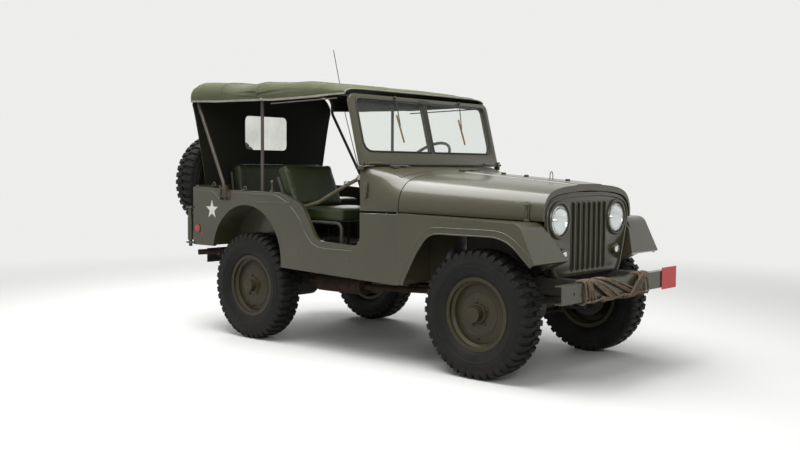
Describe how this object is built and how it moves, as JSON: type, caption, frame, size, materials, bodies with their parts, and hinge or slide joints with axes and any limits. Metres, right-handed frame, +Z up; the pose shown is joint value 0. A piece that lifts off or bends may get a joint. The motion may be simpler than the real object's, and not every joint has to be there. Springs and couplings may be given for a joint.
{
  "type": "army 4x4 car",
  "caption": "Open light army 4x4 car with a canvas top, folding-free windshield frame, rear spare wheel and driven front axle.",
  "frame": {"origin": "on the ground, in the middle of the car's length and of its wheels", "axes": "+Z up, the car faces -Y, its left side is +X"},
  "size_m": [1.5473, 3.5575, 2.2809],
  "materials": {
    "body_paint": "satin olive drab paint",
    "chassis_paint": "satin dark olive chassis paint",
    "rim_paint": "faded olive paint",
    "tyre": "black rubber",
    "canvas": "olive canvas",
    "seat_cover": "dark green coated fabric",
    "glass": "clear glass",
    "clear_plastic": "clear soft window",
    "lamp_glass": "headlamp glass",
    "rope": "worn brown rope",
    "cast_metal": "painted castings",
    "exhaust_metal": "rusty steel",
    "radiator_metal": "dark painted core",
    "wheel_plastic": "dark moulded rim",
    "whip": "dark whip"
  },
  "bodies": {
    "chassis": {"frame_rails": "chassis_paint", "springs": "chassis_paint", "front_axle": "chassis_paint", "rear_axle": "chassis_paint", "front_bumper": "body_paint", "bumper_rope": "rope", "bumperettes": "body_paint", "pintle_hook": "cast_metal", "engine_block": "cast_metal", "radiator": "radiator_metal", "gearbox": "cast_metal", "propeller_shafts": "chassis_paint", "fuel_tank": "body_paint", "exhaust": "exhaust_metal", "side_panel_left": "body_paint", "side_panel_right": "body_paint", "floor_pan": "body_paint", "wheel_boxes": "body_paint", "rear_panel": "body_paint", "cowl": "body_paint", "grille": "body_paint", "lamps": "lamp_glass", "fender_left": "body_paint", "fender_right": "body_paint", "windshield_frame": "body_paint", "windshield_glass": "glass", "canopy_top": "canvas", "rear_curtain": "canvas", "curtain_window": "clear_plastic", "top_bows": "body_paint", "seat_right": "seat_cover", "seat_left": "seat_cover", "rear_seat": "seat_cover", "seat_frames": "body_paint", "steering_column": "chassis_paint", "antenna": "whip"},
    "hood": {"hood": "body_paint"},
    "battery_lid": {"battery_lid": "body_paint"},
    "steering_wheel": {"steering_wheel": "wheel_plastic"},
    "tie_rod": {"tie_rod": "chassis_paint"},
    "spare_carrier": {"spare_carrier": "body_paint", "spare_tyre": "tyre", "spare_rim": "rim_paint"},
    "knuckle_right": {"knuckle_right": "chassis_paint"},
    "wheel_front_right": {"tyre_front_right": "tyre", "rim_front_right": "rim_paint"},
    "wheel_rear_right": {"tyre_rear_right": "tyre", "rim_rear_right": "rim_paint"},
    "knuckle_left": {"knuckle_left": "chassis_paint"},
    "wheel_front_left": {"tyre_front_left": "tyre", "rim_front_left": "rim_paint"},
    "wheel_rear_left": {"tyre_rear_left": "tyre", "rim_rear_left": "rim_paint"}
  },
  "joints": [
    {"name": "steer_right", "type": "hinge", "parent": "chassis", "child": "knuckle_right", "pos_m": [-0.545, -1.1485, 0.385], "axis": [0, 0, 1], "range_deg": [-24, 24]},
    {"name": "steer_left", "type": "hinge", "parent": "chassis", "child": "knuckle_left", "pos_m": [0.545, -1.1485, 0.385], "axis": [0, 0, 1], "range_deg": [-24, 24]},
    {"name": "tie_rod_pivot", "type": "hinge", "parent": "knuckle_right", "child": "tie_rod", "pos_m": [-0.495, -0.9985, 0.28], "axis": [0, 0, 1], "range_deg": [-24, 24]},
    {"name": "steering_turn", "type": "hinge", "parent": "chassis", "child": "steering_wheel", "pos_m": [0.395, 0.1585, 1.289], "axis": [0, 0.682, 0.7314], "range_deg": [-336, 336]},
    {"name": "hood_lift", "type": "hinge", "parent": "chassis", "child": "hood", "pos_m": [0, -0.5525, 1.236], "axis": [-1, 0, 0], "range_deg": [0, 100]},
    {"name": "battery_lid_lift", "type": "hinge", "parent": "chassis", "child": "battery_lid", "pos_m": [-0.43, -0.31075, 1.26], "axis": [-1, 0, 0], "range_deg": [0, 70]},
    {"name": "spare_swing", "type": "hinge", "parent": "chassis", "child": "spare_carrier", "pos_m": [-0.722, 1.5855, 0.79], "axis": [0, 0, 1], "range_deg": [0, 110]},
    {"name": "spin_front_right", "type": "hinge", "parent": "knuckle_right", "child": "wheel_front_right", "pos_m": [-0.6245, -1.1485, 0.385], "axis": [1, 0, 0], "continuous": true},
    {"name": "spin_rear_right", "type": "hinge", "parent": "chassis", "child": "wheel_rear_right", "pos_m": [-0.6245, 0.9085, 0.385], "axis": [1, 0, 0], "continuous": true},
    {"name": "spin_front_left", "type": "hinge", "parent": "knuckle_left", "child": "wheel_front_left", "pos_m": [0.6245, -1.1485, 0.385], "axis": [1, 0, 0], "continuous": true},
    {"name": "spin_rear_left", "type": "hinge", "parent": "chassis", "child": "wheel_rear_left", "pos_m": [0.6245, 0.9085, 0.385], "axis": [1, 0, 0], "continuous": true}
  ],
  "couplings": [
    {"joint": "steer_left", "follows": "steer_right", "ratio": 1},
    {"joint": "tie_rod_pivot", "follows": "steer_right", "ratio": -1},
    {"joint": "steering_turn", "follows": "steer_right", "ratio": 14}
  ]
}
